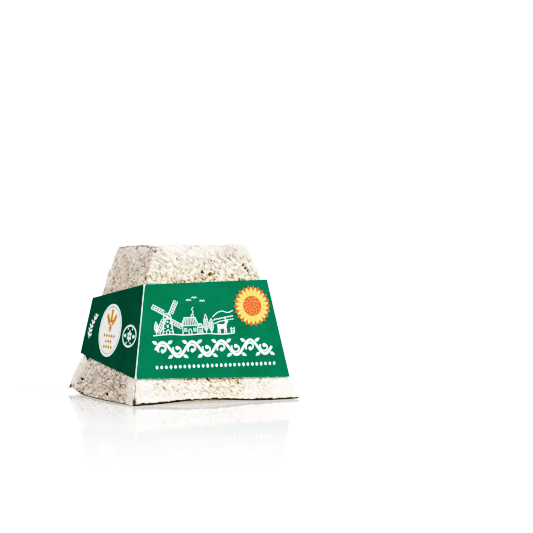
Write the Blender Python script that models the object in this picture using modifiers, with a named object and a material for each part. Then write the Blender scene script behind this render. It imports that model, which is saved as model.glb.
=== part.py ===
"""A ripe goat cheese shaped like a cut-off pyramid, held round its middle by a folded card sleeve.

The cheese stands on its flat base, with its front face towards -Y and its left face towards -X.
The origin is the middle of the base. Lengths are in metres.
"""

import math

import bmesh
import bpy
from mathutils import Matrix, Vector, noise

MM = 0.001

# Cheese body
HEIGHT = 65.9 * MM
BODY_HALF = 37.4 * MM  # half the width that the straight sides reach at the base
BODY_SLOPE = 0.232  # how far a side leans in for each unit of height
EDGE_RADIUS = 2.2 * MM  # the four sloping edges
RIM_RADIUS = 1.7 * MM  # round the top
LIP_RADIUS = 0.9 * MM  # round the base
FOOT_FLARE = 1.2 * MM  # the soft paste spreads at the very bottom
FOOT_REACH = 2.0 * MM
TOP_DISH = 1.3 * MM  # the top sinks a little in the middle
TOP_DISH_REACH = 14 * MM

# Where the foot of the cheese stands out or in: corner (x sign, y sign), amount and middle height
FOOT_CORNERS = (
    (-1, -1, -1.3 * MM, 0 * MM),
    (1, -1, 0.4 * MM, 0 * MM),
    (-1, 1, 1.1 * MM, 4.5 * MM),
    (1, 1, 0.2 * MM, 2 * MM),
)
FOOT_CORNER_REACH = 5.5 * MM

# Where a side of the foot bulges: the side's direction x and y, the place along it, width and amount
FOOT_BELLIES = (
    (-1, 0, -2 * MM, 17 * MM, 1.5 * MM),
    (0, -1, 6 * MM, 22 * MM, 0.9 * MM),
)
BELLY_REACH = 5 * MM

# How far a side stands out, halfway up its bare upper part and at its top: direction x and y
SIDE_LEANS = (
    (-1, 0, 0.7 * MM, -0.8 * MM),
    (0, -1, -0.4 * MM, 0.7 * MM),
    (1, 0, 0.9 * MM, -0.6 * MM),
    (0, 1, -3.2 * MM, -1.2 * MM),
)
LEAN_START = 38 * MM
LEAN_MIDDLE = 50 * MM

# Where the base's rim has lifted off the board: x, y, lift and reach
RIM_LIFTS = (
    (-6 * MM, -38 * MM, 1.5 * MM, 17 * MM),
    (-38 * MM, 37 * MM, 1.5 * MM, 8 * MM),
    (-38 * MM, 29 * MM, 0.9 * MM, 6.5 * MM),
    (38 * MM, -38 * MM, 0.1 * MM, 5 * MM),
    (38 * MM, 8 * MM, 0.8 * MM, 11 * MM),
    (-4 * MM, 38 * MM, 0.7 * MM, 10 * MM),
)
RIM_BAND = 8.0 * MM  # how far in from the rim the base can be off the board
LIFT_FADE = 6 * MM  # how far up the side a lift is felt

# The base stands on its flat middle and on one spot near each corner: places on the grid, 1 is the rim
FLAT_MIDDLE = 8 / 16
STAND_SPOT = 11 / 16
SPOT_TOLERANCE = 1 / 64
REST_CLEARANCE = 0.15 * MM  # the rest of the base clears the board by this

# Where the top has sunk: x, y, drop and reach
TOP_DENTS = (
    (-21 * MM, 21 * MM, 0.5 * MM, 5 * MM),
    (-21 * MM, 6 * MM, 0.6 * MM, 12 * MM),
    (4 * MM, 21 * MM, 1.1 * MM, 20 * MM),
    (21 * MM, 21 * MM, 0.8 * MM, 8 * MM),
    (22 * MM, -22 * MM, 0.9 * MM, 4 * MM),
    (6.5 * MM, -22 * MM, 1.4 * MM, 5 * MM),
    (10 * MM, -13 * MM, 1.1 * MM, 5 * MM),
    (14.5 * MM, -4 * MM, 1.0 * MM, 5 * MM),
    (19 * MM, 5 * MM, 0.9 * MM, 5 * MM),
    (-20 * MM, -18 * MM, 1.2 * MM, 10 * MM),
    (20 * MM, 4 * MM, 0.7 * MM, 6 * MM),
    (-3 * MM, 21 * MM, 0.8 * MM, 7 * MM),
)

# Rind relief
GRID_CUTS = 32  # grid lines across each face of the cheese
GRID_PACKING = 0.95  # radians of sine that pack the grid lines towards the edges
LUMP_SIZE = 13 * MM
LUMP_DEPTH = 0.7 * MM
WRINKLE_SIZE = 4.2 * MM
WRINKLE_DEPTH = 1.4 * MM
WRINKLE_WARP = 1.8 * MM
EDGE_CALM = 7 * MM  # the wrinkles fade out over this width beside an edge
RELIEF_SHIFT = Vector((3.1, 7.7, 1.9))  # which stretch of the noise the rind takes
RELIEF_SEED = 7  # of the noise that bends the wrinkles

# Card sleeve
CARD = 0.45 * MM
SLEEVE_HALF = 37.0 * MM  # half its outer width, carried down to the board
SLEEVE_SLOPE = 0.175  # it stands steeper than the cheese
FOLD_RADIUS = 0.7 * MM
CARD_GAP = 0.35 * MM  # between the card and the rind that it presses flat
PRESS_TOP = 52 * MM  # the card bears on the rind from here
PRESS_MARGIN = 2.2 * MM  # down to this far below the sleeve's lower edge
PRESS_RELEASE = 0.6  # below it, how fast the rind swells out again

# Heights of the sleeve's edges at its folds: (x sign, y sign), bottom and top
SLEEVE_EDGES = {
    (-1, -1): (11.1 * MM, 49.4 * MM),
    (1, -1): (9.4 * MM, 50.7 * MM),
    (1, 1): (16.0 * MM, 42.4 * MM),
    (-1, 1): (17.3 * MM, 42.0 * MM),
}

# The corner of the glue flap that pokes out under the left panel
FLAP_START = 5.1 * MM  # from the back fold
FLAP_TIP = 9.5 * MM
FLAP_END = 12.4 * MM
FLAP_DROP = 2.1 * MM  # the tip's depth below the panel's edge


def smooth(low, high, value):
    """0 below low, 1 above high, and an even turn between."""
    t = min(max((value - low) / (high - low), 0.0), 1.0)
    return t * t * (3 - 2 * t)


def bump(distance, reach):
    return math.exp(-((distance / reach) ** 2))


def packed(t):
    """A grid line's place from -1 to 1, with the lines closer together near both ends."""
    return math.sin(t * GRID_PACKING) / math.sin(GRID_PACKING)


def half_width(z):
    """Half the cheese's plain width at height z."""
    return BODY_HALF - BODY_SLOPE * z + FOOT_FLARE * math.exp(-z / FOOT_REACH)


def rounded(x, y, z):
    """Moves a point of the sharp-edged body onto its rounded edges."""
    half = half_width(z)
    core = Vector((
        min(max(x, EDGE_RADIUS - half), half - EDGE_RADIUS),
        min(max(y, EDGE_RADIUS - half), half - EDGE_RADIUS),
        min(max(z, LIP_RADIUS), HEIGHT - RIM_RADIUS),
    ))
    radius_z = RIM_RADIUS if z > HEIGHT / 2 else LIP_RADIUS
    out = Vector((x - core.x, y - core.y, (z - core.z) * EDGE_RADIUS / radius_z))
    if out.length > 0:
        out.normalize()
    return core + Vector((out.x * EDGE_RADIUS, out.y * EDGE_RADIUS, out.z * radius_z))


def foot_spread(point):
    """How far the foot stands out at this point, towards the nearest sides."""
    half = half_width(point.z)
    u = point.x / half
    v = point.y / half
    spread = 0.0
    for sx, sy, amount, height in FOOT_CORNERS:
        near = (1 + sx * u) * (1 + sy * v) / 4
        spread += amount * near * bump(point.z - height, FOOT_CORNER_REACH)
    for nx, ny, place, width, amount in FOOT_BELLIES:
        towards = max(nx * u + ny * v, 0.0) ** 3
        along = point.y * abs(nx) + point.x * abs(ny)
        spread += amount * towards * bump(along - place, width) * bump(point.z, BELLY_REACH)
    return spread


def lean(point):
    """How far the bare upper part has leant over at this point, as a step in x and y."""
    half = half_width(point.z)
    step = Vector((0.0, 0.0, 0.0))
    for nx, ny, middle, top in SIDE_LEANS:
        towards = max((nx * point.x + ny * point.y) / half, 0.0) ** 3
        rising = smooth(LEAN_START, LEAN_MIDDLE, point.z)
        amount = middle * rising + (top - middle) * smooth(LEAN_MIDDLE, HEIGHT, point.z)
        step += Vector((nx, ny, 0.0)) * amount * towards
    return step


def hollows(point, places):
    """The sum of the round hollows in a list of x, y, depth and reach."""
    return sum(
        depth * bump(math.hypot(point.x - x, point.y - y), reach) for x, y, depth, reach in places
    )


def body_point(corner):
    """A point of the cheese without its rind relief, from a point of the cube from -1 to 1."""
    z = (packed(corner.z) + 1) / 2 * HEIGHT
    half = half_width(z)
    point = rounded(packed(corner.x) * half, packed(corner.y) * half, z)
    spread = foot_spread(point)
    half = half_width(point.z)
    point.x *= 1 + spread / half
    point.y *= 1 + spread / half
    point += lean(point)
    edge = max(abs(point.x), abs(point.y))
    in_rim_band = smooth(BODY_HALF - RIM_BAND, BODY_HALF, edge)
    lift = hollows(point, RIM_LIFTS) * in_rim_band * math.exp(-point.z / LIFT_FADE)
    drop = hollows(point, TOP_DENTS)
    drop += TOP_DISH * bump(math.hypot(point.x, point.y), TOP_DISH_REACH)
    point.z += lift - drop * (point.z / HEIGHT) ** 5
    return point


def clearance(corner):
    """How far a point of the base clears the board, from its point of the cube."""
    across = max(abs(corner.x), abs(corner.y))
    along = min(abs(corner.x), abs(corner.y))
    if abs(across - STAND_SPOT) < SPOT_TOLERANCE and abs(along - STAND_SPOT) < SPOT_TOLERANCE:
        return 0.0
    return REST_CLEARANCE * smooth(FLAT_MIDDLE, STAND_SPOT, across)


def calm(point, half):
    """1 in the middle of a face and falling towards 0 at its edges, where the rind is smooth."""
    near_edges = sorted((half - abs(point.x), half - abs(point.y), HEIGHT - point.z))
    return 0.25 + 0.75 * smooth(0, EDGE_CALM, near_edges[1])


def rind_relief(point):
    """How far the rind stands out: broad lumps, and rounded worms with creases between them."""
    broad = point / LUMP_SIZE + RELIEF_SHIFT
    lump = noise.noise(broad) * LUMP_DEPTH
    bent = point + noise.noise_vector(broad) * WRINKLE_WARP
    worm = math.sqrt(abs(noise.noise(bent / WRINKLE_SIZE + RELIEF_SHIFT))) - 0.45
    return lump + worm * WRINKLE_DEPTH * calm(point, half_width(point.z))


def sleeve_foot(point):
    """The height of the sleeve's lower edge above this point of the board."""
    foot = 0.0
    for (sx, sy), (low, _) in SLEEVE_EDGES.items():
        near_x = min(max(1 + sx * point.x / SLEEVE_HALF, 0.0), 2.0)
        near_y = min(max(1 + sy * point.y / SLEEVE_HALF, 0.0), 2.0)
        foot += low * near_x * near_y / 4
    return foot


def card_limit(point):
    """Half the widest section that the rind may have at this height without touching the card."""
    inner = CARD * math.hypot(1, SLEEVE_SLOPE) + CARD_GAP
    held = SLEEVE_HALF - SLEEVE_SLOPE * point.z - inner
    below = sleeve_foot(point) - PRESS_MARGIN - point.z
    return held + max(below, 0.0) * PRESS_RELEASE


def pressed(point):
    """Keeps a point of the rind inside the card sleeve."""
    if point.z > PRESS_TOP:
        return point
    limit = card_limit(point)
    x = min(max(point.x, -limit), limit)
    y = min(max(point.y, -limit), limit)
    return Vector((x, y, max(point.z, 0.0)))


def add_material(obj, name, colour, roughness):
    material = bpy.data.materials.new(name)
    material.use_nodes = True
    shader = material.node_tree.nodes["Principled BSDF"]
    shader.inputs["Base Color"].default_value = (*colour, 1.0)
    shader.inputs["Roughness"].default_value = roughness
    shader.inputs["Metallic"].default_value = 0.0
    obj.data.materials.append(material)


def add_object(name, bm, collection):
    mesh = bpy.data.meshes.new(name)
    bm.to_mesh(mesh)
    bm.free()
    obj = bpy.data.objects.new(name, mesh)
    collection.objects.link(obj)
    return obj


def build_cheese(collection):
    """The whole cheese as one solid, from a cube whose grid takes the body's form and then the relief."""
    noise.seed_set(RELIEF_SEED)
    bm = bmesh.new()
    bmesh.ops.create_cube(bm, size=2.0)
    bmesh.ops.subdivide_edges(bm, edges=bm.edges[:], cuts=GRID_CUTS - 1, use_grid_fill=True)
    on_base = {vert: clearance(vert.co) for vert in bm.verts if vert.co.z < -0.999}
    for vert in bm.verts:
        vert.co = body_point(vert.co)
    bm.normal_update()
    relief = {vert: vert.normal * rind_relief(vert.co) for vert in bm.verts if vert not in on_base}
    for vert, step in relief.items():
        vert.co += step
    for vert in bm.verts:
        vert.co = pressed(vert.co)
    for vert, gap in on_base.items():
        vert.co.z += gap
    obj = add_object("cheese", bm, collection)
    obj.data.shade_smooth()
    add_material(obj, "rind", (0.80, 0.74, 0.62), 0.85)
    return obj


def sleeve_corner(sx, sy, z):
    half = SLEEVE_HALF - SLEEVE_SLOPE * z
    return Vector((sx * half, sy * half, z))


def left_panel_point(from_back, drop):
    """A point on the left panel's lower edge, or below it in the panel's plane."""
    back = sleeve_corner(-1, 1, SLEEVE_EDGES[(-1, 1)][0])
    front = sleeve_corner(-1, -1, SLEEVE_EDGES[(-1, -1)][0])
    point = back + (front - back) * (from_back / (front - back).length)
    point.z -= drop
    point.x -= SLEEVE_SLOPE * drop
    return point


def add_flap_corner(bm, edge, back):
    """Splits the left panel's lower edge and draws its middle point down to the flap's tip."""
    for from_back, drop in (
        (FLAP_START, 0.0),
        (FLAP_TIP, FLAP_DROP),
        (FLAP_END, 0.0),
    ):
        place = left_panel_point(from_back, drop)
        part = (place - back.co).length / edge.calc_length()
        edge, back = bmesh.utils.edge_split(edge, back, min(part, 0.9))
        back.co = place
        edge = next(e for e in back.link_edges if e.other_vert(back).co.y < back.co.y)


def build_sleeve(collection):
    """Four card panels folded into a ring, from an open tube of four sides."""
    bm = bmesh.new()
    turn = Matrix.Rotation(math.pi / 4, 4, "Z")
    bmesh.ops.create_cone(bm, segments=4, radius1=1.0, radius2=1.0, depth=2.0, matrix=turn)
    folds = []
    for edge in bm.edges:
        if abs(edge.verts[0].co.z - edge.verts[1].co.z) > 1:
            folds.append(edge)
    for vert in bm.verts:
        signs = (round(math.copysign(1, vert.co.x)), round(math.copysign(1, vert.co.y)))
        vert.co = sleeve_corner(*signs, SLEEVE_EDGES[signs][vert.co.z > 0])
    bmesh.ops.recalc_face_normals(bm, faces=bm.faces[:])
    back = min(bm.verts, key=lambda vert: vert.co.x - vert.co.y + vert.co.z)
    edge = next(e for e in back.link_edges if e.other_vert(back).co.y < 0)
    add_flap_corner(bm, edge, back)
    bmesh.ops.bevel(
        bm, geom=folds, offset=FOLD_RADIUS, segments=2, profile=0.5, affect="EDGES"
    )
    obj = add_object("sleeve", bm, collection)
    solidify = obj.modifiers.new("card", "SOLIDIFY")
    solidify.thickness = CARD
    solidify.offset = -1.0
    solidify.use_even_offset = True
    add_material(obj, "printed_card", (0.0, 0.235, 0.115), 0.45)
    return obj


def clear_scene():
    for obj in list(bpy.data.objects):
        bpy.data.objects.remove(obj)


def main():
    clear_scene()
    collection = bpy.data.collections.new("goat_cheese_pyramid")
    bpy.context.scene.collection.children.link(collection)
    build_cheese(collection)
    build_sleeve(collection)


main()
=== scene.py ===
import math

import bmesh
import bpy
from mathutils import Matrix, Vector, noise


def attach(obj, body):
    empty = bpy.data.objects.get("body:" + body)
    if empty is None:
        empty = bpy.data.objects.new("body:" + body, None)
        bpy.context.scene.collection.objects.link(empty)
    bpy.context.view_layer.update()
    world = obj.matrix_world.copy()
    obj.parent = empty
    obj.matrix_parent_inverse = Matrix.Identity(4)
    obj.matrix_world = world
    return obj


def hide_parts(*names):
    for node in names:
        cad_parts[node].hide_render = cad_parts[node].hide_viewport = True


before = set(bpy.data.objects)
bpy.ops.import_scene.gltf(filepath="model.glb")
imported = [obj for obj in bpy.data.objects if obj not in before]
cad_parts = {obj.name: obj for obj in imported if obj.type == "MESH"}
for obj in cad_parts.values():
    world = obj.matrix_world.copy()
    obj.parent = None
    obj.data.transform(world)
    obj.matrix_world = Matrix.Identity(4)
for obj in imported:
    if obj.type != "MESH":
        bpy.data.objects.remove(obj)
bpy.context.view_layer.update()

# A ripe goat cheese shaped like a cut-off pyramid, held round its middle by a folded green card sleeve.
# It faces -Y, its left face is towards -X and its base is on z = 0. Lengths are in metres.

MM = 0.001


def in_metres(*rows):
    """Rows of measures that are given in millimetres."""
    return [[value * MM for value in row] for row in rows]


# Cheese body, within a millimetre or so of the form of its solid
HEIGHT = 65.9 * MM
BODY_HALF = 37.4 * MM  # half the width that the straight sides reach at the base
BODY_SLOPE = 0.232  # how far a side leans in for each unit of height
EDGE_RADIUS = 1.3 * MM
RIM_RADIUS = 1.7 * MM
LIP_RADIUS = 0.9 * MM
FOOT_FLARE = 1.2 * MM
FOOT_REACH = 2.0 * MM
TOP_DISH = 1.3 * MM
TOP_DISH_REACH = 14 * MM

# Where the foot stands out or in: corner (x sign, y sign), amount and middle height
FOOT_CORNERS = (
    (-1, -1, -1.3 * MM, 0 * MM),
    (1, -1, 0.4 * MM, 0 * MM),
    (-1, 1, 1.1 * MM, 4.5 * MM),
    (1, 1, 0.2 * MM, 2 * MM),
)
FOOT_CORNER_REACH = 5.5 * MM

# Where a side of the foot bulges: the side's direction x and y, the place along it, width and amount
FOOT_BELLIES = (
    (-1, 0, -2 * MM, 17 * MM, 1.5 * MM),
    (0, -1, 6 * MM, 22 * MM, 0.9 * MM),
)
BELLY_REACH = 5 * MM

# How far a side stands out, halfway up its bare upper part and at its top: direction x and y
SIDE_LEANS = (
    (-1, 0, 0.7 * MM, -0.8 * MM),
    (0, -1, -0.4 * MM, 0.7 * MM),
    (1, 0, 0.9 * MM, -0.6 * MM),
    (0, 1, -3.2 * MM, -1.2 * MM),
)
LEAN_START = 38 * MM
LEAN_MIDDLE = 50 * MM

# Where the base's rim has lifted off the board: x, y, lift and reach
RIM_LIFTS = in_metres(
    (-6, -38, 1.5, 17), (-38, 37, 1.5, 8), (-38, 29, 0.9, 6.5),
    (38, -38, 0.1, 5), (38, 8, 0.8, 11), (-4, 38, 0.7, 10),
)
RIM_BAND = 8.0 * MM  # how far in from the rim the base can be off the board
LIFT_FADE = 6 * MM  # how far up the side a lift is felt
FLAT_BASE = 21 * MM  # half the middle of the base, which is one flat face
CLEAR_BASE = 28 * MM  # from here outwards the base clears the board
REST_CLEARANCE = 0.15 * MM

# Where the top has sunk: x, y, drop and reach
TOP_DENTS = in_metres(
    (-21, 21, 0.5, 5), (-21, 6, 0.6, 12), (4, 21, 1.1, 20), (21, 21, 0.8, 8),
    (22, -22, 0.9, 4), (6.5, -22, 1.4, 5), (10, -13, 1.1, 5), (14.5, -4, 1.0, 5),
    (19, 5, 0.9, 5), (-20, -18, 1.2, 10), (20, 4, 0.7, 6), (-3, 21, 0.8, 7),
)

# Rind relief: broad lumps, worms as in the solid, and finer worms over them
LUMP_SIZE = 13 * MM
LUMP_DEPTH = 0.7 * MM
WORM_SIZE = 4.2 * MM
WORM_DEPTH = 1.2 * MM
WORM_WARP = 1.8 * MM
WORM_MIDDLE = 0.45  # the height within the worms that leaves the rind where it was
EDGE_CALM = 7 * MM  # the relief fades over this width beside an edge
EDGE_SHARE = 0.25  # to this share of itself
RELIEF_SHIFT = Vector((3.1, 7.7, 1.9))
RELIEF_SEED = 7  # of the noise that bends the worms, as in the solid
FINE_SIZE = 2.2 * MM
FINE_DEPTH = 0.5 * MM
FINE_WARP = 0.9 * MM
FINE_MIDDLE = 0.6
FINE_SHIFT = Vector((5.3, 0.4, 8.8))
DOWN_RIGHT = Vector((1.0, 0.0, -1.0)) / math.sqrt(2)
GRAIN_SIZE = 0.9 * MM
GRAIN_DEPTH = 0.2 * MM
PATCH_SIZE = 8 * MM  # dirtier and cleaner patches
CARD_STAIN_REACH = 9 * MM  # the rind is stained this far above the card
UNDER_CARD = 3 * MM  # this far under the card the rind is still as it is beside it
CLEAN_CORNER = 11 * MM  # the foot is cleaner this far from an upright edge

# How each face has ripened: how creased it is above and below the card, how stained and how greyed,
# in worms (1) or in blobs (0), how diagonal, how small the worms are and how far they are drawn out
# along the face, the width of the dark line on the upper rim, how far in on the top it lies and how
# broken it is, and how thin the lower lip's is
FACE_LOOKS = {
    "front": dict(rough=0.8, rough_below=0.4, stain=1.0, bloom=0.0, wormy=0.0, stretch=0.42, small=1.0,
                  drawn_out=1.0, rim=0.25, rim_in=0.9, rim_gaps=5.0, lip=0.62),
    "left": dict(rough=0.5, rough_below=1.0, stain=0.4, bloom=0.8, wormy=1.0, stretch=0.0, small=1.2,
                 drawn_out=0.55, rim=0.9, rim_in=0.2, rim_gaps=0.3, lip=1.2),
    "back": dict(rough=0.7, rough_below=0.8, stain=0.7, bloom=0.6, wormy=0.8, stretch=0.2, small=1.2,
                 drawn_out=0.8, rim=0.4, rim_in=0.4, rim_gaps=3.0, lip=1.1),
    "right": dict(rough=0.7, rough_below=0.6, stain=0.8, bloom=0.4, wormy=0.3, stretch=0.3, small=1.1,
                  drawn_out=0.8, rim=0.3, rim_in=0.6, rim_gaps=4.0, lip=1.0),
    "top": dict(rough=0.7, rough_below=0.7, stain=0.0, bloom=0.45, wormy=0.7, stretch=0.1, small=1.0,
                drawn_out=1.0),
}
HAZE = 0.65  # how much all faces are greyed beside the upper rim
HAZE_START = 54 * MM
HAZE_FULL = 61 * MM

# Dirtier patches of the foot: place along the face, height, reach and amount, in millimetres
FOOT_PATCHES = {
    "front": ((-23.5, 8.3, 2.6, 0.5), (-12.5, 8.5, 5.5, 0.5), (1.5, 7.4, 6.0, 0.9), (10.4, 6.4, 3.0, 0.9),
              (22, 6.8, 2.8, 0.6)),
    "left": ((13, 5, 8, 1.0), (-9, 9, 9, 0.45), (-27, 5, 4, 0.4)),
    "back": ((-18, 8, 8, 0.6), (14, 6, 7, 0.5)),
    "right": ((-14, 5, 7, 0.6), (19, 8, 8, 0.5)),
}
PATCH_STRETCH = 1.5  # how much longer the patches are along the face than upwards

# Grid of the rind: columns across a face, and its bands of rows with their top and number of rows
COLUMNS = 140
ROW_BANDS = ((17.5 * MM, 38), (42.0 * MM, 10), (HEIGHT, 58))
CUBE_TOLERANCE = 0.001

# Dark specks in the rind, in millimetres: place along the face (to the right, seen from outside),
# height, radius, and last the darkness from 0 to 1
FRONT_SPECKS = (
    (-11.8, 59.7, 0.5, 0.7), (-12.8, 57.7, 0.4, 0.5), (-1.7, 57.2, 0.5, 0.6), (-0.5, 53.9, 0.7, 1.0),
    (2.8, 53.2, 0.8, 0.8), (13.3, 52.3, 0.8, 0.7), (18.6, 60.1, 0.4, 0.6), (18.8, 56.9, 0.7, 0.8),
    (19.6, 55.6, 0.6, 0.8), (20.6, 54.4, 0.5, 0.9), (21.9, 52.6, 0.6, 0.6), (-23.3, 8.2, 0.7, 0.3),
    (-2.8, 10.0, 0.5, 0.8), (3.1, 9.9, 0.6, 0.9), (1.6, 9.0, 0.5, 0.6), (7.2, 8.7, 0.6, 0.7),
    (10.9, 7.7, 0.6, 0.8), (1.0, 7.0, 0.5, 0.4), (-1.2, 6.0, 0.6, 0.4), (3.3, 5.2, 0.7, 0.4),
    (10.4, 6.0, 0.6, 0.6), (11.5, 5.1, 0.6, 0.4), (21.7, 8.4, 0.7, 0.5), (22.8, 5.7, 0.5, 0.5),
    (35.2, 4.1, 0.5, 0.4), (-21.1, 65.2, 0.5, 1.0), (-20.8, 64.5, 0.4, 0.9), (-20.9, 63.3, 0.4, 0.9),
    (-21.5, 62.5, 0.4, 0.8), (-35.7, 2.0, 0.7, 1.0), (-34.9, 3.0, 0.35, 0.8), (-34.4, 1.2, 0.4, 0.8),
)
LEFT_SPECKS = (
    (17.5, 57.3, 0.65, 1.0), (-13.7, 50.9, 0.7, 1.0), (-12.4, 53.9, 0.5, 0.7), (-10.9, 48.8, 0.65, 0.9),
    (9.7, 60.2, 0.7, 0.75), (2.7, 51.0, 0.7, 0.7), (22.6, 52.0, 0.7, 0.8), (-25.6, 6.7, 0.45, 1.0),
    (-27.8, 4.6, 0.4, 0.9), (-32.8, 3.3, 0.6, 0.7), (-21.2, 1.2, 0.5, 1.0), (13.6, 6.4, 0.6, 1.0),
    (8.6, 3.0, 0.6, 1.0), (5.4, 2.3, 0.45, 0.7), (19.5, 7.0, 0.5, 0.7), (22.3, 6.2, 0.5, 0.7),
    (24.3, 4.9, 0.5, 0.6), (25.2, 3.3, 0.5, 0.6), (25.8, 2.0, 0.5, 0.7), (17.5, 4.4, 0.5, 0.5),
    (-3.1, 0.9, 0.7, 0.8), (19.9, 0.9, 0.6, 0.7), (35.7, 2.1, 0.6, 1.0), (34.3, 3.0, 0.35, 0.7),
    (-36.2, 2.7, 0.9, 1.0), (-36.8, 6.0, 0.7, 1.0), (21.4, 64.4, 0.5, 1.0), (20.6, 63.3, 0.4, 0.6),
)
SPECKS = {"front": (FRONT_SPECKS, 1.0), "left": (LEFT_SPECKS, 1.5)}  # and how far they are drawn out
SPECK_SPREAD = 1.15
SPECK_RISE = 0.8  # distances upwards count for less, so that a speck is taller than wide
SPECK_DEPTH = 0.55 * MM
SEAM_WIDTH = 0.5 * MM  # the grey line down the front-left edge of the foot
SEAM_DARKNESS = 0.75
STRAY_SPACING = 9 * MM  # stray specks over the whole rind
STRAY_RADIUS = 0.5 * MM
STRAY_DARKNESS = 0.8
STRAY_MIX = 7.3  # sets the noise of neighbouring cells apart
STRAY_LEVEL = 0.2  # a cell has a speck where its noise is above this

# Values that each point of the rind carries for its colours. The last two are distances from the lower
# lip and the upper rim, counted in the widths of the dark lines there
RIND_VALUES = ("fine", "worm", "rough", "stain", "bloom", "wormy", "speck", "from_base", "from_rim")

# Card sleeve
CARD = 0.45 * MM
SLEEVE_HALF = 37.0 * MM  # half its outer width, carried down to the board
SLEEVE_SLOPE = 0.175
FOLD_RADIUS = 0.55 * MM
FOLD_STEPS = 6
PANEL_BOW = 0.25 * MM
PANEL_STEPS = 16
PANEL_ROWS = 18
CARD_GAP = 0.35 * MM
PRESS_TOP = 52 * MM
PRESS_MARGIN = 2.2 * MM
PRESS_RELEASE = 0.6
CARD_VALUES = ("to_fold", "to_cut", "wear")

# The sleeve at its folds (x sign, y sign): heights of its lower and upper edge, and how worn its ink is
SLEEVE_EDGES = {
    (-1, -1): (11.1 * MM, 49.4 * MM),
    (1, -1): (9.4 * MM, 50.7 * MM),
    (1, 1): (16.0 * MM, 42.4 * MM),
    (-1, 1): (17.3 * MM, 42.0 * MM),
}
FOLD_WEAR = {(-1, -1): 1.0, (1, -1): 0.2, (1, 1): 0.4, (-1, 1): 0.4}

# The glue flap behind the left panel, with the corner of it that pokes out below
FLAP_START = 5.1 * MM
FLAP_TIP = 9.5 * MM
FLAP_END = 12.4 * MM
FLAP_DROP = 2.1 * MM
FLAP_TOP_DROP = 1.6 * MM
FLAP_INSET = CARD + 0.08 * MM
FLAP_COLUMNS = (FOLD_RADIUS, 2.8 * MM, FLAP_START, 7.3 * MM, FLAP_TIP, 11 * MM, FLAP_END)

# Print
INK = 0.04 * MM  # how thick an ink layer is modelled
INK_STEP = 0.02 * MM  # how far each layer stands proud of the one below
MARK_LEVELS = 13
MARK_LIFT = 0.0014  # how far the levels of the marks in one layer are apart, in millimetres
PRINT_GRID = 5.0  # the marks are cut this fine, in millimetres, to follow the card

SIDES = {"front": (0, -1), "right": (1, 0), "back": (0, 1), "left": (-1, 0)}


def smooth(low, high, value):
    """0 below low, 1 above high, and an even turn between."""
    t = min(max((value - low) / (high - low), 0.0), 1.0)
    return t * t * (3 - 2 * t)


def bump(distance, reach):
    return math.exp(-((distance / reach) ** 2))


def hollows(point, places):
    """The sum of the round hollows in a list of x, y, depth and reach."""
    return sum(
        depth * bump(math.hypot(point.x - x, point.y - y), reach) for x, y, depth, reach in places
    )


# The cheese's form


def half_width(z):
    return BODY_HALF - BODY_SLOPE * z + FOOT_FLARE * math.exp(-z / FOOT_REACH)


def rounded(x, y, z):
    """Moves a point of the sharp-edged body onto its rounded edges."""
    half = half_width(z)
    core = Vector((
        min(max(x, EDGE_RADIUS - half), half - EDGE_RADIUS),
        min(max(y, EDGE_RADIUS - half), half - EDGE_RADIUS),
        min(max(z, LIP_RADIUS), HEIGHT - RIM_RADIUS),
    ))
    radius_z = RIM_RADIUS if z > HEIGHT / 2 else LIP_RADIUS
    out = Vector((x - core.x, y - core.y, (z - core.z) * EDGE_RADIUS / radius_z))
    if out.length > 0:
        out.normalize()
    return core + Vector((out.x * EDGE_RADIUS, out.y * EDGE_RADIUS, out.z * radius_z))


def foot_spread(point):
    """How far the foot stands out at this point, towards the nearest sides."""
    half = half_width(point.z)
    u = point.x / half
    v = point.y / half
    spread = 0.0
    for sx, sy, amount, height in FOOT_CORNERS:
        near = (1 + sx * u) * (1 + sy * v) / 4
        spread += amount * near * bump(point.z - height, FOOT_CORNER_REACH)
    for nx, ny, place, width, amount in FOOT_BELLIES:
        towards = max(nx * u + ny * v, 0.0) ** 3
        along = point.y * abs(nx) + point.x * abs(ny)
        spread += amount * towards * bump(along - place, width) * bump(point.z, BELLY_REACH)
    return spread


def lean(point):
    """How far the bare upper part has leant over at this point."""
    half = half_width(point.z)
    step = Vector((0.0, 0.0, 0.0))
    for nx, ny, middle, top in SIDE_LEANS:
        towards = max((nx * point.x + ny * point.y) / half, 0.0) ** 3
        rising = smooth(LEAN_START, LEAN_MIDDLE, point.z)
        amount = middle * rising + (top - middle) * smooth(LEAN_MIDDLE, HEIGHT, point.z)
        step += Vector((nx, ny, 0.0)) * amount * towards
    return step


def rim_lift(point):
    """How far the base's rim is off the board here, felt for a short way up the side."""
    edge = max(abs(point.x), abs(point.y))
    in_rim_band = smooth(BODY_HALF - RIM_BAND, BODY_HALF, edge)
    return hollows(point, RIM_LIFTS) * in_rim_band * math.exp(-point.z / LIFT_FADE)


def body_point(x, y, z):
    """A point of the cheese without its rind relief: x and y run from -1 to 1, z is its height."""
    half = half_width(z)
    point = rounded(x * half, y * half, z)
    spread = foot_spread(point) / half_width(point.z)
    point.x *= 1 + spread
    point.y *= 1 + spread
    point += lean(point)
    drop = hollows(point, TOP_DENTS)
    drop += TOP_DISH * bump(math.hypot(point.x, point.y), TOP_DISH_REACH)
    point.z += rim_lift(point) - drop * (point.z / HEIGHT) ** 5
    return point


def row_heights():
    heights = [0.0]
    for top, count in ROW_BANDS:
        start = heights[-1]
        heights += [start + (top - start) * step / count for step in range(1, count + 1)]
    return heights


def side_place(point):
    """The side that a point is nearest to, and its place along it to the right."""
    if abs(point.x) > abs(point.y):
        return ("right", point.y) if point.x > 0 else ("left", -point.y)
    return ("back", -point.x) if point.y > 0 else ("front", point.x)


def on_top(point):
    within = max(abs(point.x), abs(point.y)) < half_width(point.z) - 1 * MM
    return within and point.z > HEIGHT - 1.5 * RIM_RADIUS


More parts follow.
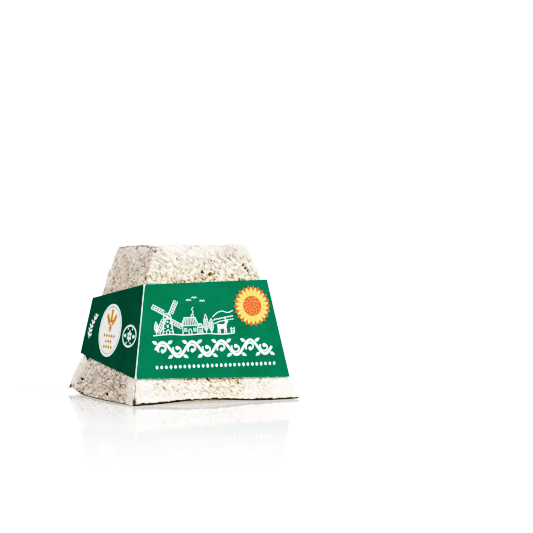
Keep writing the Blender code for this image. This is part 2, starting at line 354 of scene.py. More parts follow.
def speck_at(point, side, along):
    """How deep this point lies in a speck, from 0 to the speck's darkness."""
    specks, drawn_out = SPECKS.get(side, ((), 1.0))
    deepest = 0.0
    for place, height, radius, darkness in specks:
        distance = math.hypot((along - place * MM) / drawn_out, (point.z - height * MM) * SPECK_RISE)
        if distance < 3 * radius * MM:
            deepest = max(deepest, darkness * bump(distance, radius * MM * SPECK_SPREAD))
    distances, centres = noise.voronoi(point / STRAY_SPACING + FINE_SHIFT)
    if noise.noise(centres[0] * STRAY_MIX) > STRAY_LEVEL:
        deepest = max(deepest, STRAY_DARKNESS * bump(distances[0] * STRAY_SPACING, STRAY_RADIUS))
    return deepest


def calm(point):
    """1 in the middle of a face, falling to the edge's share at its edges, where the rind is smooth."""
    half = half_width(point.z)
    near_edges = sorted((half - abs(point.x), half - abs(point.y), HEIGHT - point.z))
    return EDGE_SHARE + (1 - EDGE_SHARE) * smooth(0, EDGE_CALM, near_edges[1])


def edge_height(point, which):
    """Height of the sleeve's lower (0) or upper (1) edge nearest to this point."""
    height = 0.0
    for (sx, sy), heights in SLEEVE_EDGES.items():
        near_x = min(max(1 + sx * point.x / SLEEVE_HALF, 0.0), 2.0)
        near_y = min(max(1 + sy * point.y / SLEEVE_HALF, 0.0), 2.0)
        height += heights[which] * near_x * near_y / 4
    return height


def patch_at(side, along, z):
    """How dirty the foot is here, from 0 to 1."""
    amount = 0.0
    for place, height, reach, share in FOOT_PATCHES[side]:
        distance = math.hypot((along - place * MM) / PATCH_STRETCH, z - height * MM)
        amount += share * bump(distance, reach * MM)
    return min(amount, 1.0)


def rind_surface(point, from_base, from_rim):
    """How far the rind stands out here, and the values that its colours are made of."""
    side, along = side_place(point)
    edge_look = FACE_LOOKS[side]
    look = FACE_LOOKS["top"] if on_top(point) else edge_look
    broad = point / LUMP_SIZE + RELIEF_SHIFT
    bent = point + noise.noise_vector(broad) * WORM_WARP
    worm = noise.noise(bent / WORM_SIZE + RELIEF_SHIFT)
    fine_place = bent + noise.noise_vector(point / (2 * FINE_SIZE) + FINE_SHIFT) * FINE_WARP
    fine_place -= DOWN_RIGHT * fine_place.dot(DOWN_RIGHT) * look["stretch"]
    fine_place.y *= look["drawn_out"]
    fine = noise.noise(fine_place * look["small"] / FINE_SIZE + FINE_SHIFT)
    grain = noise.noise(point / GRAIN_SIZE + RELIEF_SHIFT)
    patches = 0.5 + 0.5 * noise.noise(point / PATCH_SIZE + FINE_SHIFT)
    quiet = calm(point)

    above_card = point.z - edge_height(point, 1)
    below_card = edge_height(point, 0) - point.z
    in_foot = below_card > -UNDER_CARD
    dirty = smooth(0.35, 0.65, patches)
    near_card = bump(max(above_card, 0.0), CARD_STAIN_REACH) if above_card > -UNDER_CARD else 0.0
    near_card *= look["stain"]
    rough = look["rough"] * (0.45 + 0.55 * quiet) + 0.5 * near_card
    stain = near_card * (0.35 + 0.65 * dirty + 0.4 * bump(above_card, 3 * MM))
    haze = HAZE * (0.5 + dirty) * smooth(HAZE_START, HAZE_FULL, point.z)
    bloom = max(look["bloom"] * (0.8 + 0.4 * dirty), haze)
    wormy = look["wormy"]
    if in_foot:
        from_corner = half_width(point.z) - min(abs(point.x), abs(point.y))
        inner = smooth(0.5 * CLEAN_CORNER, CLEAN_CORNER, from_corner)
        patch = patch_at(side, along, point.z)
        rough = look["rough_below"] * (0.4 + 0.6 * inner) + 0.7 * patch
        stain = look["stain"] * (0.8 * patch + 0.6 * dirty * bump(below_card, 1 * MM))
        bloom *= 0.7 * inner + patch
        wormy *= max(inner, patch)
        fine *= 2 - inner

    speck = speck_at(point, side, along)
    if in_foot and point.x < 0 and point.y < 0:
        speck = max(speck, SEAM_DARKNESS * bump(point.x - point.y, SEAM_WIDTH))
    ridge = abs(wormy - smooth(0.0, 0.3 - 0.1 * wormy, abs(fine)))
    relief = (0.2 + 0.8 * rough + 0.9 * wormy) * (0.4 + 0.6 * quiet)
    out = noise.noise(broad) * LUMP_DEPTH
    out += (math.sqrt(abs(worm)) - WORM_MIDDLE) * WORM_DEPTH * quiet
    out += (ridge - FINE_MIDDLE) * FINE_DEPTH * relief
    out += grain * GRAIN_DEPTH
    out -= speck * SPECK_DEPTH

    lip = from_base / MM * edge_look["lip"]
    rim = abs(from_rim / MM - edge_look["rim_in"]) / edge_look["rim"] + edge_look["rim_gaps"] * dirty
    return out, (fine, worm, rough, stain, bloom, wormy, speck, lip, rim)


def card_limit(point):
    """Half the widest section that the rind may have here without touching the card."""
    inner = CARD * math.hypot(1, SLEEVE_SLOPE) + CARD_GAP
    below = edge_height(point, 0) - PRESS_MARGIN - point.z
    return sleeve_half(point.z) - inner + max(below, 0.0) * PRESS_RELEASE


def pressed(point):
    """Keeps a point of the rind inside the card sleeve, and behind its glue flap."""
    if point.z > PRESS_TOP:
        return point
    limit = card_limit(point)
    at_flap = smooth(-2 * MM, 1 * MM, point.y - (sleeve_half(point.z) - FLAP_END))
    low = -limit + FLAP_INSET * at_flap * smooth(10 * MM, 14 * MM, point.z)
    x = min(max(point.x, low), limit)
    y = min(max(point.y, -limit), limit)
    return Vector((x, y, max(point.z, 0.0)))


def cheese_grid():
    """A closed cube whose sides have a grid of the rind's rows and columns."""
    rows = sum(count for _, count in ROW_BANDS)
    bm = bmesh.new()
    bmesh.ops.create_cube(bm, size=2.0)
    for upright, cuts in ((True, rows - 1), (False, COLUMNS - 1)):
        edges = [
            edge
            for edge in bm.edges
            if (abs(edge.verts[0].co.z - edge.verts[1].co.z) > CUBE_TOLERANCE) == upright
        ]
        bmesh.ops.subdivide_edges(bm, edges=edges, cuts=cuts, use_grid_fill=True)
    return bm


def across_base(vert):
    return max(abs(vert.co.x), abs(vert.co.y))


def build_rind():
    noise.seed_set(RELIEF_SEED)
    bm = cheese_grid()
    heights = row_heights()
    layers = [bm.verts.layers.float.new(name) for name in RIND_VALUES]
    base = {vert for vert in bm.verts if vert.co.z < CUBE_TOLERANCE - 1}
    from_edges = {}
    for vert in bm.verts:
        x, y, z = vert.co
        height = heights[round((z + 1) / 2 * (len(heights) - 1))]
        inwards = (1 - max(abs(x), abs(y))) * half_width(height)
        from_edges[vert] = (math.hypot(height, inwards), inwards + height - HEIGHT)
        vert.co = body_point(x, y, height)
    bm.normal_update()
    steps = {}
    for vert in bm.verts:
        out, values = rind_surface(vert.co, *from_edges[vert])
        for layer, value in zip(layers, values):
            vert[layer] = value
        steps[vert] = Vector((0.0, 0.0, 0.0)) if vert in base else vert.normal * out
    for vert, step in steps.items():
        vert.co = pressed(vert.co + step)
    for vert in base:
        vert.co.z += REST_CLEARANCE * smooth(FLAT_BASE, CLEAR_BASE, across_base(vert))
    inner = [
        face
        for face in bm.faces
        if all(vert in base and across_base(vert) < FLAT_BASE for vert in face.verts)
    ]
    bmesh.ops.dissolve_faces(bm, faces=inner, use_verts=True)
    mesh = mesh_from(bm, "wrinkled_rind")
    mesh.shade_smooth()
    return add_piece("wrinkled_rind", mesh, [rind_material()], "cheese")


# The card sleeve's form. A column of the card is its place for a height, its lowest and highest point,
# its distance from the nearest fold for a height, and how worn the ink is at that fold


def sleeve_half(z):
    return SLEEVE_HALF - SLEEVE_SLOPE * z


def panel_point(side, along, z, proud=0.0):
    """A point on a panel's outer face: its place along the panel, to the right, and its height."""
    nx, ny = SIDES[side]
    half = sleeve_half(z)
    share = min(abs(along) / (half - FOLD_RADIUS), 1.0)
    out = half + PANEL_BOW * (1 - share * share) + proud * math.hypot(1, SLEEVE_SLOPE)
    return Vector((nx * out - ny * along, ny * out + nx * along, z))


def side_corner(side, end):
    """The corner, as its x sign and y sign, at the left (-1) or right (1) end of a side."""
    nx, ny = SIDES[side]
    return (nx - ny * end, ny + nx * end)


def panel_columns(side, whole_start=False, end_inset=0.0):
    """The columns of a panel between its folds. With whole_start it begins at the sleeve's corner."""
    made = []
    ends = (side_corner(side, -1), side_corner(side, 1))
    for step in range(PANEL_STEPS + 1):
        share = -math.cos(math.pi * step / PANEL_STEPS)
        part = (share + 1) / 2
        low, high = [a + (b - a) * part for a, b in zip(*(SLEEVE_EDGES[end] for end in ends))]

        def place(z, share=share, step=step):
            core = sleeve_half(z) - FOLD_RADIUS
            along = share * core - end_inset * (1 + share) / 2
            if whole_start and step == 0:
                along = -sleeve_half(z)
            return panel_point(side, along, z)

        def to_fold(z, share=share):
            return (sleeve_half(z) - FOLD_RADIUS) * (1 - abs(share)) + FOLD_RADIUS * math.pi / 4

        made.append((place, low, high, to_fold, FOLD_WEAR[ends[share > 0]]))
    return made


def fold_columns(sx, sy, start, inset=0.0):
    """The columns round a fold, from the angle at which it starts on through a quarter turn."""
    made = []
    low, high = SLEEVE_EDGES[(sx, sy)]
    for step in range(1, FOLD_STEPS):
        angle = start + math.pi / 2 * step / FOLD_STEPS

        def place(z, angle=angle):
            core = sleeve_half(z) - FOLD_RADIUS
            middle = Vector((sx * (core - inset), sy * core, z))
            return middle + FOLD_RADIUS * Vector((math.cos(angle), math.sin(angle), 0.0))

        def to_fold(z, angle=angle):
            return abs(angle - start - math.pi / 4) * FOLD_RADIUS

        made.append((place, low, high, to_fold, FOLD_WEAR[(sx, sy)]))
    return made


def flap_columns():
    """The glue flap behind the left panel, from the back fold to its free side."""
    made = []
    low_back, high_back = SLEEVE_EDGES[(-1, 1)]
    low_front, high_front = SLEEVE_EDGES[(-1, -1)]
    length = 2 * sleeve_half(low_back)
    for from_back in FLAP_COLUMNS:
        part = from_back / length
        low = low_back + (low_front - low_back) * part
        low += 0.3 * MM * (1 - smooth(2 * MM, FLAP_START, from_back))
        if from_back > FLAP_START:
            out = min((from_back - FLAP_START) / (FLAP_TIP - FLAP_START),
                      (FLAP_END - from_back) / (FLAP_END - FLAP_TIP))
            low -= FLAP_DROP * out
        high = high_back + (high_front - high_back) * part
        high -= FLAP_TOP_DROP * (0.4 + part * length / FLAP_END)

        def place(z, from_back=from_back):
            half = sleeve_half(z)
            return Vector((FLAP_INSET - half, half - from_back, z))

        def to_fold(z, from_back=from_back):
            return from_back

        made.append((place, low, high, to_fold, 0.0))
    return made


def build_sleeve():
    """One strip of card: left panel, front panel, right panel, back strap and glue flap."""
    strip = panel_columns("left", whole_start=True)
    strip += fold_columns(-1, -1, -math.pi)
    strip += panel_columns("front")
    strip += fold_columns(1, -1, -math.pi / 2)
    strip += panel_columns("right")
    strip += fold_columns(1, 1, 0)
    strip += panel_columns("back", end_inset=FLAP_INSET)
    strip += fold_columns(-1, 1, math.pi / 2, inset=FLAP_INSET)
    strip += flap_columns()
    bm = bmesh.new()
    layers = [bm.verts.layers.float.new(name) for name in CARD_VALUES]
    grid = []
    for place, low, high, to_fold, wear in reversed(strip):
        column = []
        for row in range(PANEL_ROWS + 1):
            share = (1 - math.cos(math.pi * row / PANEL_ROWS)) / 2
            z = low + (high - low) * share
            vert = bm.verts.new(place(z))
            for layer, value in zip(layers, (to_fold(z) / MM, min(z - low, high - z) / MM, wear)):
                vert[layer] = value
            column.append(vert)
        grid.append(column)
    for here, there in zip(grid, grid[1:]):
        for row in range(PANEL_ROWS):
            bm.faces.new((here[row], here[row + 1], there[row + 1], there[row]))
    bm.normal_update()
    materials = [
        printed_card_material(),
        plain_card_material("bare_card_inside", BARE_CARD, 0.85),
        plain_card_material("cut_card_edge", CUT_CARD, 0.9),
    ]
    mesh = thickened(mesh_from(bm, "folded_card"), CARD, rim=2, inside=1, materials=materials)
    return add_piece("folded_card", mesh, [], "sleeve")


def mesh_from(bm, name):
    mesh = bpy.data.meshes.new(name)
    bm.to_mesh(mesh)
    bm.free()
    return mesh


def thickened(mesh, thickness, rim=0, inside=0, materials=()):
    """The mesh as a closed sheet, with smooth faces and sharp cut edges."""
    for material in materials:
        mesh.materials.append(material)
    sheet = bpy.data.objects.new("sheet", mesh)
    bpy.context.scene.collection.objects.link(sheet)
    solidify = sheet.modifiers.new("card", "SOLIDIFY")
    solidify.thickness = thickness
    solidify.offset = -1.0
    solidify.use_even_offset = True
    solidify.material_offset = inside
    solidify.material_offset_rim = rim
    made = bpy.data.meshes.new_from_object(sheet.evaluated_get(bpy.context.evaluated_depsgraph_get()))
    bpy.data.objects.remove(sheet)
    made.shade_smooth()
    made.set_sharp_from_angle(angle=math.radians(40))
    return made


def add_piece(name, mesh, materials, replaced=None):
    mesh.name = name
    piece = bpy.data.objects.new(name, mesh)
    bpy.context.scene.collection.objects.link(piece)
    for material in materials:
        mesh.materials.append(material)
    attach(piece, "root")
    if replaced:
        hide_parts(replaced)
    return piece


# Printed marks: flat outlines in millimetres, u along the panel and v its height


def placed(marks, u, v, turn=0.0, size=1.0):
    """Marks that are drawn about 0, 0, moved to u, v and turned by degrees to the right."""
    along = size * math.cos(math.radians(turn))
    across = size * math.sin(math.radians(turn))
    return [
        [(u + a * along + b * across, v + b * along - a * across) for a, b in outline] for outline in marks
    ]


def turned_round(marks, count, start=0.0):
    """Marks repeated evenly round 0, 0."""
    made = []
    for k in range(count):
        made += placed(marks, 0, 0, start + 360 * k / count)
    return made


def ellipse(u, v, across, up, count=40):
    turn = 2 * math.pi / count
    return [(u + across * math.cos(k * turn), v + up * math.sin(k * turn)) for k in range(count)]


def disc(u, v, across, up=None, count=40):
    return [ellipse(u, v, across, up or across, count)]


def box(left, low, right, high):
    return [(left, low), (right, low), (right, high), (left, high)]


def lozenge(u, v, across, up):
    return [(u - across, v), (u, v - up), (u + across, v), (u, v + up)]


def curve(points, steps=6):
    """Points of an even curve through the given points."""
    ends = [points[0]] + list(points) + [points[-1]]
    made = []
    for a, b, c, d in zip(ends, ends[1:], ends[2:], ends[3:]):
        for k in range(steps):
            t = k / steps
            made.append(tuple(
                0.5 * (2 * q + (r - p) * t + (2 * p - 5 * q + 4 * r - s) * t * t
                       + (3 * q - p - 3 * r + s) * t * t * t)
                for p, q, r, s in zip(a, b, c, d)
            ))
    return made + [points[-1]]


def line(points, width, closed=False):
    """A drawn line of this width along the points, as one quad for each stretch."""
    count = len(points)
    left, right = [], []
    for k, (u, v) in enumerate(points):
        before = points[(k - 1) % count] if closed or k > 0 else points[k]
        after = points[(k + 1) % count] if closed or k < count - 1 else points[k]
        du, dv = after[0] - before[0], after[1] - before[1]
        size = math.hypot(du, dv) or 1.0
        side = (-dv / size * width / 2, du / size * width / 2)
        left.append((u + side[0], v + side[1]))
        right.append((u - side[0], v - side[1]))
    last = count if closed else count - 1
    return [
        [right[k], right[(k + 1) % count], left[(k + 1) % count], left[k]] for k in range(last)
    ]


def ring(u, v, across, up, width, count=40):
    return line(ellipse(u, v, across, up, count), width, closed=True)


def leaf(u, v, length, width, turn=0.0, steps=7):
    """A leaf that grows from u, v, leaning turn degrees to the right of upright."""
    edge = []
    for k in range(1, steps):
        t = k / steps
        edge.append((math.sin(math.pi * t ** 0.8) * width / 2, t * length))
    outline = [(0.0, 0.0)] + edge + [(0.0, length)] + [(-a, b) for a, b in edge[::-1]]
    return placed([outline], u, v, turn)


def vine(start, end, level, arches, size=1.0):
    """A waving stem with a curled tendril in each of its arches, and leaves outside them."""
    half = (end - start) / arches
    swing = 3.0 * size
    wave = []
    for k in range(arches * 10 + 1):
        wave.append((start + half * k / 10, level + swing * math.sin(math.pi * k / 10)))
    marks = line(wave, 1.0 * size)
    for k in range(arches):
        up = 1 if k % 2 == 0 else -1
        middle = (start + (k + 0.5) * half, level + up * 0.1 * size)
        curl = []
        for step in range(19):
            angle = math.pi * (1.15 - 0.095 * step)
            reach = (2.25 - 0.085 * step) * size
            curl.append((middle[0] + reach * math.cos(angle), middle[1] + up * reach * math.sin(angle)))
        marks += line(curl, 0.62 * size) + disc(curl[-1][0], curl[-1][1], 0.8 * size, count=16)
        for side in (-1, 1):
            foot = (middle[0] + side * 0.35 * half, level + up * swing * 0.8)
            marks += leaf(*foot, 2.5 * size, 1.3 * size, 90 - up * 90 + side * up * 62)
    return marks


def beads(start, end, level, count):
    """A row of beads with a lozenge after every third."""
    marks = []
    for k in range(count):
        u = start + (end - start) * k / (count - 1)
        if k % 4 == 3:
            marks.append(lozenge(u, level, 0.62, 0.95))
        else:
            marks += disc(u, level, 0.52, 0.68, 14)
    return marks


def front_marks():
    """White print of the front panel: a mill and a farm among hills, a vine and a row of beads."""
    return vine(-25.4, 27.6, 22.5, 8) + beads(-25.2, 28.2, 15.4, 27) + farm_marks()


def farm_marks():
    """The ground with all that stands on it, the hills behind it and the birds above."""
    marks = line(curve([(-25.8, 28.3), (-19, 28.7), (-11, 28.3), (-2, 28.6), (5, 28.2), (10.6, 28.5)]), 0.3)
    marks += placed(mill_marks(), -19.2, 28.6)
    marks += placed(house_marks(), -12.6, 28.5)
    for u, v, height, width in ((-24.3, 28.6, 5.4, 1.7), (-2.0, 28.6, 8.2, 2.0), (0.4, 28.5, 6.4, 1.8)):
        marks += placed(tree_marks(height, width), u, v)
    hedge = [(1.6 + 0.45 * k, 33.9 + 0.072 * k + 0.55 * abs(math.sin(1.3 * k))) for k in range(21)]
    marks += line(hedge, 0.3)
    marks += line(curve([(1.7, 32.6), (5.0, 33.6), (10.8, 34.4)]), 0.26)
    marks += line(curve([(1.2, 35.4), (3.6, 37.2), (6.0, 37.7), (8.2, 37.1), (10.8, 37.9)]), 0.26)
    for u, v in ((9.4, 28.4), (10.7, 28.5)):
        marks += line([(u, v), (u, 31.0)], 0.26)
    for v in (29.4, 30.4):
        marks += line([(8.8, v), (11.0, v)], 0.22)
    marks += placed([GOAT], 2.6, 28.4, size=0.74)
    bird = line(curve([(-1.1, 0), (-0.5, 0.45), (0, -0.1), (0.5, 0.45), (1.1, 0)], 3), 0.24)
    for u, v in ((-9.2, 42.4), (-6.6, 43.4), (-3.0, 42.0)):
        marks += placed(bird, u, v)
    return marks


def mill_marks():
    """A windmill with four lattice sails."""
    marks = line([(-2.3, 0), (-1.5, 6.4), (1.5, 6.4), (2.3, 0)], 0.32)
    marks += line(curve([(-1.8, 6.4), (-1.3, 8.0), (0, 8.7), (1.3, 8.0), (1.8, 6.4)], 4), 0.32)
    marks += line([(-1.8, 6.4), (1.8, 6.4)], 0.3)
    marks += line(curve([(-0.7, 0), (-0.7, 1.3), (0, 2.0), (0.7, 1.3), (0.7, 0)], 3), 0.26)
    marks += [box(-0.35, 3.0, 0.35, 3.9), box(-0.3, 4.9, 0.3, 5.6)]
    for level in (1.3, 2.6, 4.4):
        reach = 2.2 - level * 0.125
        for left in (-reach, reach - 0.8):
            marks += line([(left, level), (left + 0.8, level)], 0.18)
    sail = line([(0, 0), (0, 7.6)], 0.28) + line([(0, 2.0), (1.7, 2.0), (1.7, 7.6), (0, 7.6)], 0.24)
    for bar in (3.1, 4.2, 5.3, 6.4):
        sail += line([(0, bar), (1.7, bar)], 0.2)
    sail += line([(0.85, 2.0), (0.85, 7.6)], 0.18)
    return marks + placed(turned_round(sail, 4, 28), 0, 7.3) + disc(0, 7.3, 0.55, count=14)


def house_marks():
    """A long house with a hatched roof, a chimney, a door and windows, and a shed beside it."""
    marks = line([(0, 0), (0, 3.6), (6.6, 3.6), (6.6, 0)], 0.28)
    marks += line([(-0.6, 3.6), (0.9, 6.9), (5.8, 6.9), (7.2, 3.6)], 0.3)
    for k in range(8):
        marks += line([(0.2 + 0.86 * k, 3.7), (1.3 + 0.6 * k, 6.8)], 0.19)
    marks += line([(4.2, 6.9), (4.2, 8.2), (5.1, 8.2), (5.1, 6.9)], 0.26)
    marks += line(curve([(4.7, 8.5), (5.2, 9.3), (4.6, 10.2), (5.3, 11.2)]), 0.22)
    marks += line(curve([(2.7, 0), (2.7, 1.6), (3.3, 2.2), (3.9, 1.6), (3.9, 0)], 3), 0.24)
    for left in (0.8, 4.9):
        marks += line(box(left, 1.2, left + 1.0, 2.5), 0.2, closed=True)
        marks += line([(left + 0.5, 1.2), (left + 0.5, 2.5)], 0.16)
    marks += line([(6.6, 2.6), (8.9, 2.6), (8.9, 0)], 0.26)
    marks += line([(6.7, 4.2), (8.4, 4.2), (9.4, 2.6)], 0.28)
    for k in range(3):
        marks += line([(7.2 + 0.7 * k, 2.7), (7.0 + 0.6 * k, 4.1)], 0.18)
        marks += line([(7.3 + 0.6 * k, 0.1), (7.3 + 0.6 * k, 2.0)], 0.18)
    return marks


def tree_marks(height, width):
    """A slim tree: its trunk, its outline and its twigs."""
    marks = line([(0, 0), (0, height * 0.75)], 0.24)
    marks += line(leaf(0, 0.9, height - 0.9, width)[0], 0.26, closed=True)
    for k in range(2, 7):
        level = height * k / 9
        marks += line([(-width * 0.3, level + 0.6), (0, level), (width * 0.3, level + 0.6)], 0.18)
    return marks


# A goat seen from the side, facing right
GOAT = (
    (0.3, 5.9), (0.9, 5.2), (1.6, 5.35), (3.2, 5.05), (4.6, 5.2), (5.2, 5.5), (5.6, 6.3), (5.8, 6.9),
    (5.2, 6.95), (5.8, 7.4), (5.65, 8.3), (4.9, 9.0), (5.9, 8.8), (6.3, 7.75), (6.6, 7.6), (7.5, 6.7),
    (7.45, 6.35), (7.0, 6.25), (6.8, 5.5), (6.5, 6.05), (6.45, 4.7), (6.15, 3.7), (6.2, 2.8),
    (6.35, 1.6), (6.25, 0.0), (5.8, 0.0), (5.8, 1.6), (5.5, 2.7), (5.3, 2.7), (5.15, 1.5), (5.2, 0.0),
    (4.75, 0.0), (4.7, 1.6), (4.85, 2.85), (4.0, 2.75), (3.0, 2.8), (2.5, 3.0), (2.3, 2.2),
    (2.45, 1.3), (2.3, 0.0), (1.85, 0.0), (1.9, 1.3), (1.65, 2.3), (1.4, 2.4), (1.2, 1.4), (1.3, 0.0),
    (0.85, 0.0), (0.7, 1.5), (0.9, 2.8), (0.7, 4.0), (0.75, 4.9),
)


def sunflower():
    """A round flower: its yellow petals, and in red its outer tips, its veins and its heart of seeds."""
    count = 22
    between = 180 / count
    petals = disc(0, 0, 6.0, count=44) + turned_round(leaf(0, 3.6, 4.4, 1.75), count)
    tips = turned_round(leaf(0, 5.4, 3.3, 1.5), count, between)
    veins = turned_round(line([(0, 4.9), (0, 6.0)], 0.16), count, between)
    seeds = []
    for k in range(1, 32):
        angle = k * math.radians(137.5)
        reach = 0.67 * math.sqrt(k)
        seeds += disc(reach * math.sin(angle), reach * math.cos(angle), 0.21, count=8)
    return petals, tips, disc(0, 0, 4.3, count=44) + veins, seeds


def white_medal(u, v, across, up):
    """An oval with a thin gap inside its rim, through which the card shows."""
    rim = 0.09 * up
    gap = 0.3
    marks = ring(u, v, across - rim / 2, up - rim / 2, rim, 56)
    return marks + disc(u, v, across - rim - gap, up - rim - gap, 56)


def wheat_ear(length):
    """An upright ear of wheat on its stalk."""
    marks = line([(0, 0), (0, length * 0.8)], 0.6)
    for k in range(4):
        for side in (-1, 1):
            marks += leaf(0, length * (0.26 + 0.165 * k), 0.27 * length, 0.125 * length, side * 38)
    return marks + leaf(0, length * 0.8, 0.27 * length, 0.13 * length)


def sheaf_marks():
    """A tied sheaf of wheat, and three short rows of lozenges under it."""
    marks = []
    for turn in (-46, 0, 46):
        marks += placed(wheat_ear(7.9), 0, 0.8, turn)
        marks += placed(line([(0, 0), (0, 2.2)], 0.6), 0, 0.8, 180 - turn * 0.9)
    marks += [box(-1.5, 0.3, 1.5, 1.2)]
    for level, count in ((-2.7, 5), (-5.1, 3), (-7.4, 4)):
        for k in range(count):
            marks.append(lozenge((k - (count - 1) / 2) * 2.8, level, 1.25, 0.95))
    return marks


def fern_marks(height, lean_step, width):
    """A slim fern: a bent stem with small leaves on both sides."""
    stem = curve([(0, 0), (lean_step * 0.15, height * 0.5), (lean_step, height)], 3)
    marks = line(stem, 0.5)
    for k, (a, b) in enumerate(stem[1:]):
        share = 1 - k / len(stem)
        for side in (-1, 1):
            marks += leaf(a, b - 0.3, width * (0.5 + 0.5 * share), 1.1, side * 60 + 8)
    return marks


def flower_marks():
    """A small flower in an oval ring."""
    marks = ring(0, 0, 7.1, 4.3, 0.75) + turned_round(leaf(0, 0.5, 2.1, 1.3), 6)
    for side in (-1, 1):
        marks += leaf(side * 3.2, 0, 2.9, 1.5, side * 90)
        marks += disc(side * 2.2, side * 2.9, 0.45, count=12)
        marks += disc(side * 2.2, -side * 2.9, 0.45, count=12)
    return marks


def lift_marks(flat):
    """Gives each mark of a flat mesh its own small lift, so that no two that overlap share a plane."""
    seen = set()
    count = 0
    for first in flat.faces:
        if first in seen:
            continue
        seen.add(first)
        mark = [first]
        for face in mark:
            for vert in face.verts:
                vert.co.z = count % MARK_LEVELS * MARK_LIFT
            beside = [other for edge in face.edges for other in edge.link_faces if other not in seen]
            seen.update(beside)
            mark += beside
        count += 1


def lay_print(name, material, groups):
    """A thin piece of ink on the card, from groups of a side, a layer and flat outlines."""
    bm = bmesh.new()
    for side, layer, marks in groups:
        flat = bmesh.new()
        for outline in marks:
            flat.faces.new([flat.verts.new((u, v, 0.0)) for u, v in outline])
        bmesh.ops.remove_doubles(flat, verts=flat.verts[:], dist=0.0005)
        lift_marks(flat)
        bmesh.ops.triangulate(flat, faces=flat.faces[:])
        for step in range(-7, 11):
            for normal in ((1, 0, 0), (0, 1, 0)):
                everything = flat.verts[:] + flat.edges[:] + flat.faces[:]
                place = Vector(normal) * step * PRINT_GRID
                bmesh.ops.bisect_plane(flat, geom=everything, plane_co=place, plane_no=normal, dist=0.001)
        made = {}
        for vert in flat.verts:
            proud = layer * INK_STEP + vert.co.z * MM
            made[vert] = bm.verts.new(panel_point(side, vert.co.x * MM, vert.co.y * MM, proud))
        for face in flat.faces:
            if face.calc_area() > 1e-6:
                bm.faces.new([made[vert] for vert in face.verts])
        flat.free()
    bm.normal_update()
    return add_piece(name, thickened(mesh_from(bm, name), INK), [material])


def build_print():
    left = white_medal(-1.4, 29.0, 12.8, 11.2) + placed(flower_marks(), 21.5, 27.8)
    left += placed(fern_marks(10.2, 5.6, 3.4), -26.0, 24.2)
    back = vine(-20.8, 20.8, 29.4, 6, 1.05)
    for level in (22.0, 36.8):
        back += line([(-22, level), (22, level)], 0.5)
    white = [
        ("front", 1, front_marks()),
        ("left", 1, left),
        ("right", 1, white_medal(0.0, 29.0, 11.0, 10.4)),
        ("back", 1, back),
    ]
    lay_print("white_print", ink_material("white_ink", WHITE_INK), white)
    gold = [(side, 2, placed(sheaf_marks(), u, 29.4)) for side, u in (("left", -1.4), ("right", 0.0))]
    lay_print("gold_print", ink_material("gold_ink", GOLD_INK), gold)
    petals, tips, red, seeds = [placed(marks, 19.9, 39.6) for marks in sunflower()]
    yellow = [("front", 2, petals), ("front", 4, seeds)]
    lay_print("yellow_print", ink_material("yellow_ink", YELLOW_INK), yellow)
    lay_print("red_print", ink_material("red_ink", RED_INK), [("front", 1, tips), ("front", 3, red)])


# Finishes

CREAM = (0.98, 0.89, 0.76)
WARM_CREAM = (0.96, 0.84, 0.67)
# painted highlight for the ridges of the rind
RIDGE_HIGHLIGHT = (1.0, 0.95, 0.87)
# painted shade for the valleys of the rind's relief
VALLEY_SHADE = (0.70, 0.575, 0.475)
PEACH_STAIN = (0.87, 0.66, 0.42)
# painted highlight for the crests of the worms
WORM_HIGHLIGHT = (1.0, 0.93, 0.81)
# grey of the bloom, and painted shade in the valleys of bloomed faces
GREY_BLOOM_AND_SHADE = (0.47, 0.36, 0.32)
# painted shade for the deepest hollows of the relief
DEEP_HOLLOW_SHADE = (0.15, 0.12, 0.105)
# crease colours: ash and mould in the grooves, deepened with painted shade
WARM_CREASE = (0.46, 0.37, 0.27)
GREY_CREASE = (0.30, 0.24, 0.21)
TAN_CREASE = (0.34, 0.265, 0.165)
GREEN_CREASE = (0.24, 0.22, 0.14)
OLIVE_CREASE = (0.10, 0.088, 0.055)
SPECK_BLACK = (0.035, 0.03, 0.02)
RIM_GREY = (0.14, 0.11, 0.095)
# dark line of the lower lip: ash, and painted shade under the lip
LIP_ASH_AND_SHADE = (0.05, 0.042, 0.03)
CARD_GREEN = (0.004, 0.135, 0.095)
CARD_GREEN_LIGHT = (0.006, 0.149, 0.106)
BARE_CARD = (0.62, 0.60, 0.55)
CUT_CARD = (0.92, 0.91, 0.85)
WHITE_INK = (0.97, 0.97, 0.94)
GOLD_INK = (0.55, 0.23, 0.025)
YELLOW_INK = (0.80, 0.60, 0.15)
RED_INK = (0.68, 0.12, 0.08)


class Field:
    """What a node puts out. Sums with fields add the maths nodes for them."""

    def __init__(self, socket):
        self.socket = socket

    def maths(self, operation, first, second=0.0):
        inputs = {0: first, 1: second}
        return add_node(self.socket.id_data, "ShaderNodeMath", inputs, operation=operation)

    def __add__(self, other):
        return self.maths("ADD", self, other)

    def __sub__(self, other):
        return self.maths("SUBTRACT", self, other)

    def __rsub__(self, other):
        return self.maths("SUBTRACT", other, self)

    def __mul__(self, other):
        return self.maths("MULTIPLY", self, other)

    def __truediv__(self, other):
        return self.maths("DIVIDE", self, other)

    def __abs__(self):
        return self.maths("ABSOLUTE", self)

    def larger(self, other):
        return self.maths("MAXIMUM", self, other)

    __radd__ = __add__
    __rmul__ = __mul__


def set_inputs(node, inputs):
    """Sets a node's inputs to values, or links them where they are given a field."""
    for name, value in inputs.items():
        if isinstance(value, Field):
            node.id_data.links.new(value.socket, node.inputs[name])
        else:
            node.inputs[name].default_value = value


def add_node(tree, kind, inputs, output=0, **settings):
    """Adds a node and gives one of its outputs as a field."""
    made = tree.nodes.new(kind)
    for name, value in settings.items():
        setattr(made, name, value)
    set_inputs(made, inputs)
    return Field(made.outputs[output])


